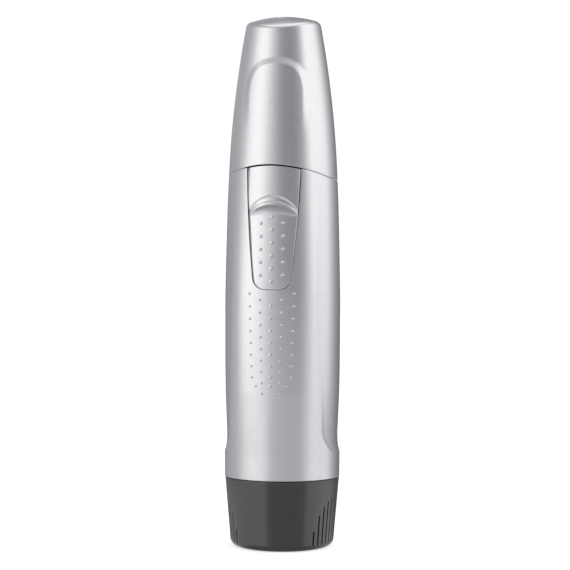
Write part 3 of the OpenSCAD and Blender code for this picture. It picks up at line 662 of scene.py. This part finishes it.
def build_cap():
    """The protective cap, outside and inside, with its vents."""
    shell = Shell()
    level = HALF_GAP
    count, side_rows = 288, 150
    azs = [2 * math.pi * i / count - math.pi for i in range(count)]

    def side_point(az, z):
        return polar(outer_r(z) + panel_lift(az, z), az, z)

    # Lower edge and side
    low_z = [joint_height(az, level) for az in azs]
    tops = [cap_top(az) for az in azs]
    rows = []
    for a in reversed(FILLET_STEPS):
        out, deep = fillet(a)
        row = []
        for az, z in zip(azs, low_z):
            r = outer_r(z) - deep
            low = polar(r, az, joint_at(r * math.sin(az), level) + out)
            row.append(low if a else side_point(az, z + FILLET))
        rows.append(row)
    base_row = rows[0]
    for j in range(1, side_rows + 1):
        share = (j / side_rows) ** 0.9
        rows.append([side_point(az, (z + FILLET) + (top[0] - z - FILLET) * share)
                     for az, z, top in zip(azs, low_z, tops)])
    # Shoulder, which starts at the side's slope, then the dome in to the vented middle
    start = math.asin((outer_r(SIDE_TOP + 0.01) - outer_r(SIDE_TOP - 0.4)) / -0.41 / math.hypot(1, 0.19))
    for k in range(1, 11):
        row = []
        for az, (z, centre, end, _, _) in zip(azs, tops):
            a = start + (end - start) * k / 10
            row.append(polar(centre + SHOULDER_R * math.cos(a), az, z + SHOULDER_R * math.sin(a)))
        rows.append(row)
    for k in range(1, 9):
        flat = [polar(top[3] + (VENT_ZONE - top[3]) * k / 8, az, 0) for az, top in zip(azs, tops)]
        rows.append([dome(x, y) for x, y, _ in flat])
    shell.grid(rows, closed=True)

    # Vented middle of the dome, outside and inside
    holes, rims = [], []
    for i in range(VENTS):
        a = 2 * math.pi * i / VENTS - math.pi / 2
        c = (VENT_RING * math.cos(a), VENT_RING * math.sin(a))
        holes.append(circle(*c, VENT_R + VENT_EDGE))
        rims.append([circle(*c, VENT_R + fillet(b, VENT_EDGE)[0]) for b in FILLET_STEPS])
    outer = [flat_xy(rows[-1])] + holes
    shell.patch(outer, fill(outer, 0.6, 0.3), dome)
    inner_azs = azs[::4]
    inner_loop = flat_xy([polar(VENT_ZONE - 0.1, az, 0) for az in inner_azs])
    inner = [inner_loop] + [r[-1] for r in rims]
    shell.patch(inner, fill(inner, 1.0, 0.5), inner_dome, flip=True)
    for loops in rims:
        walls = [[(x, y, dome(x, y)[2] - fillet(b, VENT_EDGE)[1]) for x, y in loop]
                 for loop, b in zip(loops, FILLET_STEPS)]
        walls.append([inner_dome(x, y) for x, y in loops[-1]])
        shell.grid(walls, closed=True)

    # Inside: a straight skirt with a relief behind the front edge, then a wall that follows the outside
    relief_half = math.asin((PLATE_W / 2 + 0.4) / 12.3)

    def inner_r(az, z):
        if z > SKIRT_TOP:
            return outer_r(z) - CAP_WALL
        if abs(az) <= relief_half and z <= SKIRT_TOP - 1:
            return outer_r(z) - CAP_LIP
        return SKIRT_R

    relief_edges = {s * (relief_half + d) for s in (-1, 1) for d in (0, 0.003)}
    cols = sorted({round(a, 6) for a in inner_azs} | relief_edges)
    low_rs = [inner_r(az, 92) for az in cols]
    inner_rows = [[polar(r, az, joint_at(r * math.sin(az), level)) for az, r in zip(cols, low_rs)]]
    steps = (SKIRT_TOP - 0.98, SKIRT_TOP + 0.02)  # just past each step of the wall
    for z in (94.0, 96.0, SKIRT_TOP - 1, steps[0], SKIRT_TOP, steps[1], 104, 110, 116, 122):
        inner_rows.append([polar(inner_r(az, z + (0.001 if z in steps else 0)), az, z) for az in cols])
    under = [cap_top(az)[0] - 0.9 for az in cols]
    inner_rows.append([polar(inner_r(az, z), az, z) for az, z in zip(cols, under)])
    for r in (7.7, 6.9):
        inner_rows.append([inner_dome(*polar(r, az, 0)[:2]) for az in cols])
    shell.grid(inner_rows, closed=True, flip=True)
    shell.patch([flat_xy(inner_rows[-1]), inner_loop], [], inner_dome, flip=True)
    joint_face = [flat_xy(base_row), flat_xy(inner_rows[0])]
    shell.patch(joint_face, [], lambda x, y: (x, y, joint_at(x, level)), flip=True)
    return shell.make("cap_shell")


# ---------- Battery cover ----------

GROOVES, GROOVE_PITCH, GROOVE_TOP = 14, 6.55, 13.6  # per side, degrees, height of the tallest
GROOVE_REACH = GROOVES / 2 * GROOVE_PITCH
GROOVE_HALF, GROOVE_WALL, GROOVE_DEPTH, GROOVE_LOW = 0.6, 0.4, 0.34, 1.8
LOW_ROUND, TOP_EDGE = 2.0, 0.18


def groove_depth(az, z):
    """Depth of the upright grip grooves at a point; their tops follow an arch on each side."""
    phi = math.degrees(abs(az)) - 90
    if abs(phi) > GROOVE_REACH:
        return 0.0
    centre = (math.floor(phi / GROOVE_PITCH) + 0.5) * GROOVE_PITCH
    off = abs(phi - centre) - GROOVE_HALF
    if off > GROOVE_WALL:
        return 0.0
    share = 1 - max(off, 0.0) / GROOVE_WALL
    arch = math.sqrt(max(0.0, 1 - (centre / (GROOVE_REACH - GROOVE_LOW)) ** 2))
    top = GROOVE_LOW + (GROOVE_TOP - GROOVE_LOW) * arch
    return GROOVE_DEPTH * share * step(top - z, 0.0, 0.35) * step(z, 0.9, 1.5)


def build_cover():
    """The battery cover: grooved outside, spigot with its seal groove, inside and bayonet lugs."""
    shell = Shell()
    degrees = []
    for middle in (90, 270):
        degrees += [middle - 90 + a for a in spread(GROOVE_REACH - 90, 90 - GROOVE_REACH, 1.5)]
        for k in range(GROOVES):
            centre = middle - GROOVE_REACH + (k + 0.5) * GROOVE_PITCH
            degrees += [centre + s * d for s in (-1, 1) for d in (0.0, 0.3, 0.6, 1.0, 1.4, 1.9, 2.6)]
    azs = [wrap(math.radians(a)) for a in sorted({round(a % 360, 5) for a in degrees})]
    rows = []
    for k in range(13):
        a = math.radians(-90 + (90 + 4.9) * k / 12)
        r, z = cover_r(LOW_ROUND) - LOW_ROUND + LOW_ROUND * math.cos(a), LOW_ROUND + LOW_ROUND * math.sin(a)
        rows.append([polar(r - groove_depth(az, z) * step(a, -0.9, -0.35), az, z) for az in azs])
    for z in spread(rows[-1][0][2], COVER_H - TOP_EDGE, 0.2)[1:]:
        rows.append([polar(cover_r(z) - groove_depth(az, z), az, z) for az in azs])
    for a in FILLET_STEPS[1:]:
        out, deep = fillet(a, TOP_EDGE)
        rows.append([polar(cover_r(COVER_H) - deep, az, COVER_H - out) for az in azs])
    profile = [(12.02, COVER_H), (12.02, 18.1), (10.65, 18.15), (10.65, 19.65), (12.02, 19.7), (12.02, 22.1),
               (11.6, 22.5), (9.9, 22.5), (9.9, 15.0), (11.1, 13.5), (11.1, 2.0), (9.5, 2.0)]
    rows += [[polar(r, az, z) for az in azs] for r, z in profile]
    shell.grid(rows, closed=True)
    shell.patch([flat_xy(rows[-1])], [], lambda x, y: (x, y, 2.0))
    shell.patch([flat_xy(rows[0])], [], lambda x, y: (x, y, 0.0), flip=True)
    # Bayonet lugs
    for side in (math.pi / 2, math.pi / 2 + math.pi):
        corners = ((11.9, 20.6), (12.75, 20.6), (12.75, 22.0), (11.9, 22.0))
        shell.bar([[polar(r, side + math.radians(a), z) for r, z in corners] for a in spread(-11, 11, 2)])
    return shell.make("cover_shell")


# ---------- Materials ----------

WAVE_DEPTH = 0.0015  # of the faint unevenness of the lacquer


def new_material(name):
    m = bpy.data.materials.new(name)
    m.use_nodes = True
    nodes, links = m.node_tree.nodes, m.node_tree.links
    bsdf = next(n for n in nodes if n.type == "BSDF_PRINCIPLED")
    return m, nodes, links, bsdf


def noise(nodes, links, vector, scale, detail=2.0, rough=0.5):
    n = nodes.new("ShaderNodeTexNoise")
    n.inputs["Scale"].default_value = scale
    n.inputs["Detail"].default_value = detail
    n.inputs["Roughness"].default_value = rough
    links.new(vector, n.inputs["Vector"])
    return n.outputs["Fac"]


def mapped(nodes, links, value, low, high):
    n = nodes.new("ShaderNodeMapRange")
    n.inputs["To Min"].default_value = low
    n.inputs["To Max"].default_value = high
    links.new(value, n.inputs["Value"])
    return n.outputs["Result"]


def tint(nodes, links, value, dark, light, low=0.35, high=0.65):
    n = nodes.new("ShaderNodeValToRGB")
    n.color_ramp.elements[0].position = low
    n.color_ramp.elements[0].color = (*dark, 1)
    n.color_ramp.elements[1].position = high
    n.color_ramp.elements[1].color = (*light, 1)
    links.new(value, n.inputs["Fac"])
    return n.outputs["Color"]


def bump(nodes, links, height, strength, distance, below=None):
    n = nodes.new("ShaderNodeBump")
    n.inputs["Strength"].default_value = strength
    n.inputs["Distance"].default_value = distance
    links.new(height, n.inputs["Height"])
    if below is not None:
        links.new(below, n.inputs["Normal"])
    return n.outputs["Normal"]


def surface(name, dark, light, metallic, rough, grain, grain_depth, stretch=(1, 1, 1), coat=0.0, spec=0.5,
            mottle=300.0, wave=0.0, ior=1.5):
    """A finish with colour mottling, roughness variation and grain. grain and wave are sizes in millimetres."""
    m, nodes, links, bsdf = new_material(name)
    bsdf.inputs["IOR"].default_value = ior
    coord = nodes.new("ShaderNodeTexCoord")
    size = nodes.new("ShaderNodeMapping")
    size.inputs["Scale"].default_value = stretch
    links.new(coord.outputs["Object"], size.inputs["Vector"])
    vec = size.outputs["Vector"]
    fine = noise(nodes, links, vec, 1 / MM / grain, 3.0, 0.6)
    broad = noise(nodes, links, vec, mottle, 2.0)
    links.new(tint(nodes, links, broad, dark, light), bsdf.inputs["Base Color"])
    links.new(mapped(nodes, links, fine, rough[0], rough[1]), bsdf.inputs["Roughness"])
    normal = bump(nodes, links, fine, 0.6, grain_depth * MM)
    if wave:
        slow = noise(nodes, links, vec, 1 / MM / wave, 1.0)
        normal = bump(nodes, links, slow, 0.5, WAVE_DEPTH * MM, normal)
    links.new(normal, bsdf.inputs["Normal"])
    bsdf.inputs["Metallic"].default_value = metallic
    bsdf.inputs["Specular IOR Level"].default_value = spec
    bsdf.inputs["Coat Weight"].default_value = coat
    bsdf.inputs["Coat Roughness"].default_value = 0.08
    return m


SILVER = surface("silver_lacquer", (0.782, 0.782, 0.797), (0.8, 0.8, 0.815), 1.0, (0.2, 0.26), 0.09, 0.0008,
                 mottle=900.0, wave=3.0)
CHARCOAL = surface("charcoal_grain", (0.009, 0.009, 0.0095), (0.012, 0.012, 0.0125), 0.0, (0.1, 0.18),
                   0.16, 0.002, spec=0.6, ior=1.85)
INNER = surface("inner_plastic", (0.02, 0.02, 0.022), (0.032, 0.032, 0.034), 0.0, (0.38, 0.52), 0.2, 0.008)
PALE = surface("pale_nylon", (0.72, 0.69, 0.61), (0.8, 0.78, 0.71), 0.0, (0.35, 0.5), 0.25, 0.006)
RUBBER = surface("seal_rubber", (0.012, 0.012, 0.012), (0.022, 0.022, 0.022), 0.0, (0.5, 0.7), 0.15, 0.01)
BRASS = surface("contact_brass", (0.68, 0.5, 0.24), (0.8, 0.62, 0.32), 1.0, (0.22, 0.36), 0.1, 0.003,
                (1, 1, 0.06))
COPPER = surface("copper_winding", (0.52, 0.2, 0.09), (0.68, 0.3, 0.14), 1.0, (0.28, 0.42), 0.12, 0.02,
                 (1, 1, 6))
STEEL = surface("satin_steel", (0.56, 0.56, 0.57), (0.66, 0.66, 0.67), 1.0, (0.24, 0.36), 0.08, 0.002,
                (1, 1, 0.05))
POLISHED = surface("polished_steel", (0.74, 0.74, 0.75), (0.8, 0.8, 0.81), 1.0, (0.12, 0.2), 0.06, 0.001,
                   (1, 1, 8))
CORE = surface("laminated_steel", (0.3, 0.3, 0.31), (0.42, 0.42, 0.43), 1.0, (0.35, 0.5), 0.12, 0.02,
               (0.05, 0.05, 6))
FERRITE = surface("ferrite", (0.03, 0.03, 0.033), (0.06, 0.06, 0.064), 0.2, (0.5, 0.7), 0.12, 0.02)
CELL = surface("cell_can", (0.6, 0.6, 0.61), (0.7, 0.7, 0.71), 1.0, (0.25, 0.35), 0.1, 0.002, (1, 1, 0.1))
SLEEVE = surface("cell_sleeve", (0.05, 0.075, 0.14), (0.065, 0.095, 0.17), 0.3, (0.2, 0.3), 0.1, 0.001,
                 coat=0.5)

BY_SLOT = {
    "silver_plastic": SILVER, "charcoal_plastic": CHARCOAL, "inner_plastic": INNER, "pale_plastic": PALE,
    "rubber": RUBBER, "brass": BRASS, "copper": COPPER, "steel": STEEL, "polished_steel": POLISHED,
    "core_steel": CORE, "magnet": FERRITE, "cell_core": CELL, "cell_label": SLEEVE,
}

for part in frame["record"]["subparts"]:
    obj = frame["nodes"][part["node"]]
    obj.data.materials.clear()
    obj.data.materials.append(BY_SLOT[part["material_slot"]])

# ---------- Visible shells ----------

for build, node, body, slot in (
    (build_housing, "housing", "housing", "silver_plastic"),
    (build_plate, "switch_plate", "switch", "silver_plastic"),
    (build_cap, "protective_cap", "cap", "silver_plastic"),
    (build_cover, "battery_cover", "cover", "charcoal_plastic"),
):
    piece = build()
    piece.data.materials.append(BY_SLOT[slot])
    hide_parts(node)
    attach(piece, body)

# ---------- Stage ----------

FLOOR_SIZE, FLOOR_GLOW = 3.0, 0.62


def build_floor():
    """A plain white floor that lights the object but isn't mirrored in it."""
    mesh = bpy.data.meshes.new("floor")
    s = FLOOR_SIZE
    mesh.from_pydata([(-s, -s, 0), (s, -s, 0), (s, s, 0), (-s, s, 0)], [], [(0, 1, 2, 3)])
    floor = bpy.data.objects.new("floor", mesh)
    bpy.context.scene.collection.objects.link(floor)
    m, _, _, bsdf = new_material("floor_white")
    bsdf.inputs["Base Color"].default_value = (0.9, 0.9, 0.9, 1)
    bsdf.inputs["Roughness"].default_value = 0.9
    bsdf.inputs["Specular IOR Level"].default_value = 0.0
    bsdf.inputs["Emission Color"].default_value = (1, 1, 1, 1)
    bsdf.inputs["Emission Strength"].default_value = FLOOR_GLOW
    mesh.materials.append(m)
    floor.visible_glossy = False


build_floor()

# Studio: what a surface sees in each direction round the camera's line of sight, as (degrees, brightness).
# Rings near the ground, below eye level, at eye level, above it and high up.
STUDIO_BASE = [
    (-180, 0.7), (-140, 0.7), (-110, 0.7), (-80, 0.74), (-50, 0.78), (-37, 0.76), (-30, 0.46), (-18, 0.39),
    (20, 0.38), (40, 0.4), (47, 0.44), (53, 0.7), (66, 0.78), (90, 0.9), (120, 0.86), (150, 0.66), (180, 0.7)]
STUDIO_LOW = [
    (-180, 0.22), (-160, 0.3), (-140, 0.42), (-124, 0.44), (-104, 0.5), (-88, 0.6), (-76, 0.8), (-60, 0.93),
    (-46, 0.96), (-32, 0.88), (-23, 0.67), (-8, 0.61), (16, 0.6), (34, 0.61), (44, 0.7), (56, 0.86), (68, 0.9),
    (82, 0.84), (96, 0.86), (106, 0.68), (116, 0.47), (130, 0.31), (150, 0.19), (180, 0.22)]
STUDIO_LEVEL = [
    (-180, 0.2), (-160, 0.26), (-146, 0.36), (-124, 0.41), (-108, 0.5), (-98, 0.58), (-90, 0.96), (-82, 1.3),
    (-70, 1.32), (-56, 1.17), (-40, 0.88), (-28, 0.63), (-16, 0.52), (-4, 0.42), (8, 0.37), (24, 0.3),
    (34, 0.31), (44, 0.46), (54, 0.7), (63, 0.98), (72, 0.9), (82, 0.8), (90, 0.9), (98, 0.98), (106, 0.92),
    (116, 0.6), (130, 0.35), (148, 0.22), (180, 0.2)]
STUDIO_HIGH = [
    (-180, 0.44), (-150, 0.44), (-124, 0.46), (-112, 0.5), (-104, 0.58), (-96, 0.66), (-88, 0.82), (-78, 1.08),
    (-64, 1.23), (-54, 1.23), (-44, 1.12), (-34, 0.86), (-24, 0.64), (-14, 0.46), (-4, 0.34), (8, 0.3),
    (24, 0.29), (34, 0.36), (44, 0.46), (54, 0.86), (62, 1.2), (76, 1.17), (96, 1.14), (106, 1.02), (118, 0.7),
    (130, 0.48), (144, 0.31), (162, 0.2), (180, 0.3)]
STUDIO_UPPER = [
    (-180, 0.34), (-120, 0.4), (-60, 0.56), (0, 0.5), (40, 0.66), (60, 1.0), (100, 0.9), (130, 0.45),
    (180, 0.34)]
OVERHEAD, UNDERFOOT = 1.1, 0.31
# Heights between which one ring gives way to the next: 0 looks straight down, 0.5 level, 1 straight up
BLENDS = [(0.385, 0.405), (0.43, 0.5), (0.505, 0.58), (0.77, 0.82)]
OVERHEAD_BLEND, UNDERFOOT_BLEND = (0.9, 0.97), (0.13, 0.27)
BACKDROP_LIGHT = 1.05


def build_world():
    """Soft studio light for reflections, plain white for the camera."""
    world = bpy.data.worlds.new("studio")
    bpy.context.scene.world = world
    world.use_nodes = True
    nodes, links = world.node_tree.nodes, world.node_tree.links
    nodes.clear()

    def math_node(op, a, b=None):
        n = nodes.new("ShaderNodeMath")
        n.operation = op
        for i, v in enumerate((a, b)):
            if isinstance(v, (int, float)):
                n.inputs[i].default_value = v
            elif v is not None:
                links.new(v, n.inputs[i])
        return n.outputs[0]

    def ramp(value, stops):
        """Brightness along a value; the light is a little cooler where it is dim."""
        n = nodes.new("ShaderNodeValToRGB")
        n.color_ramp.interpolation = "LINEAR"
        items = n.color_ramp.elements
        while len(items) < len(stops):
            items.new(0.5)
        for item, (at, level) in zip(items, stops):
            item.position = at
            item.color = (level, level * (0.985 + 0.012 * level), level * (1.06 - 0.055 * level), 1)
        links.new(value, n.inputs["Fac"])
        return n.outputs["Color"]

    coord = nodes.new("ShaderNodeTexCoord")
    split = nodes.new("ShaderNodeSeparateXYZ")
    links.new(coord.outputs["Generated"], split.inputs[0])
    turn = math_node("ARCTAN2", split.outputs["X"], math_node("MULTIPLY", split.outputs["Y"], -1.0))
    turn = math_node("SUBTRACT", turn, math.radians(FRONT_VIEW))
    share = math_node("ADD", math_node("DIVIDE", turn, 2 * math.pi), 0.5)
    share = math_node("FRACT", math_node("ADD", share, 1.0))
    first, *rings = [ramp(share, [((a + 180) / 360, v) for a, v in ring]) for ring in
                     (STUDIO_BASE, STUDIO_LOW, STUDIO_LEVEL, STUDIO_HIGH, STUDIO_UPPER)]
    height = math_node("ADD", math_node("MULTIPLY", split.outputs["Z"], 0.5), 0.5)

    def blend(stops, a, b):
        """a, giving way to b along the height."""
        n = nodes.new("ShaderNodeMix")
        n.data_type = "RGBA"
        links.new(ramp(height, stops), n.inputs["Factor"])
        links.new(a, n.inputs["A"])
        if isinstance(b, float):
            n.inputs["B"].default_value = (b, b, b, 1)
        else:
            links.new(b, n.inputs["B"])
        return n.outputs["Result"]

    view = first
    for (low, high), ring in zip(BLENDS + [OVERHEAD_BLEND], rings + [OVERHEAD]):
        view = blend([(low, 0.0), (high, 1.0)], view, ring)
    view = blend([(UNDERFOOT_BLEND[0], 1.0), (UNDERFOOT_BLEND[1], 0.0)], view, UNDERFOOT)
    shown = nodes.new("ShaderNodeLightPath")
    studio, backdrop = nodes.new("ShaderNodeBackground"), nodes.new("ShaderNodeBackground")
    links.new(view, studio.inputs["Color"])
    backdrop.inputs["Color"].default_value = (1, 1, 1, 1)
    backdrop.inputs["Strength"].default_value = BACKDROP_LIGHT
    pick = nodes.new("ShaderNodeMixShader")
    links.new(shown.outputs["Is Camera Ray"], pick.inputs["Fac"])
    links.new(studio.outputs[0], pick.inputs[1])
    links.new(backdrop.outputs[0], pick.inputs[2])
    out = nodes.new("ShaderNodeOutputWorld")
    links.new(pick.outputs[0], out.inputs["Surface"])


build_world()

# ---------- Camera ----------

LENS, IMAGE_WIDTH, IMAGE_SHIFT = 97.1, 570, 2.15
CAM_DISTANCE, CAM_HEIGHT, CAM_ROLL = 379.5, 64.0, 0.2


def build_camera():
    data = bpy.data.cameras.new("camera")
    data.lens, data.sensor_width = LENS, 36.0
    data.shift_x = IMAGE_SHIFT / IMAGE_WIDTH
    data.clip_start, data.clip_end = 0.01, 20
    cam = bpy.data.objects.new("camera", data)
    bpy.context.scene.collection.objects.link(cam)
    a = math.radians(FRONT_VIEW)
    cam.matrix_world = (Matrix.Translation([c * MM for c in polar(CAM_DISTANCE, a, CAM_HEIGHT)])
                        @ Matrix.Rotation(a, 4, "Z") @ Matrix.Rotation(math.pi / 2, 4, "X")
                        @ Matrix.Rotation(math.radians(CAM_ROLL), 4, "Z"))
    bpy.context.scene.camera = cam


build_camera()
bpy.context.scene.view_settings.view_transform = "Standard"
